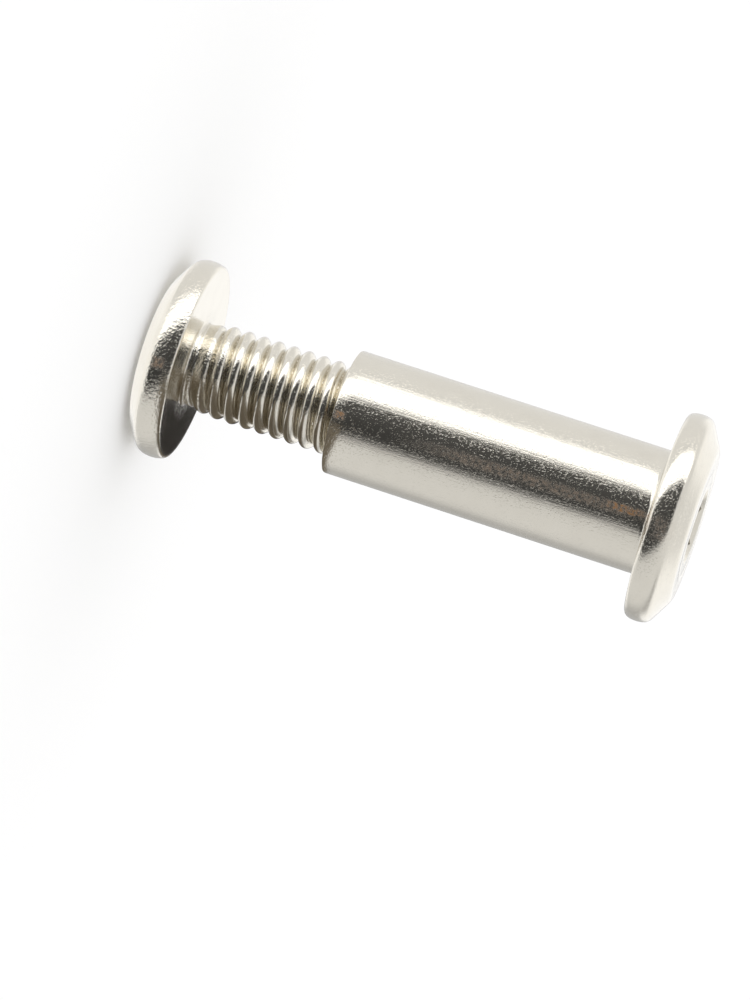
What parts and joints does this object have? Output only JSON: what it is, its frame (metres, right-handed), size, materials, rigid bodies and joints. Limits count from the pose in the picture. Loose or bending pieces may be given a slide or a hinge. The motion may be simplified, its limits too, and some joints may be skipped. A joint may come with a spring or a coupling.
{
  "type": "binding barrel screw",
  "caption": "Flanged screw part-way out of its flanged barrel nut: clamps a stack of sheets or panels through one hole, with a hexagon socket in each head.",
  "frame": {"origin": "centre of the screw head's outer face, on which the pair stands", "axes": "+Z along the common axis of screw and nut, from the screw's head to the nut's head; +X runs through two opposite corners of each hexagon socket"},
  "size_m": [0.0134, 0.0134, 0.0356],
  "materials": {
    "screw_plating": "bright nickel plating on steel, slightly wrinkled on the head's rim and rolled thread",
    "nut_plating": "bright nickel plating on steel, with fine drawn lines along the barrel"
  },
  "bodies": {
    "screw_body": {"screw": "screw_plating"},
    "nut_body": {"barrel_nut": "nut_plating"}
  },
  "joints": [
    {"name": "nut_slide", "type": "slide", "parent": "screw_body", "child": "nut_body", "axis": [0, 0, 1], "range_m": [-0.009, 0.007]}
  ]
}
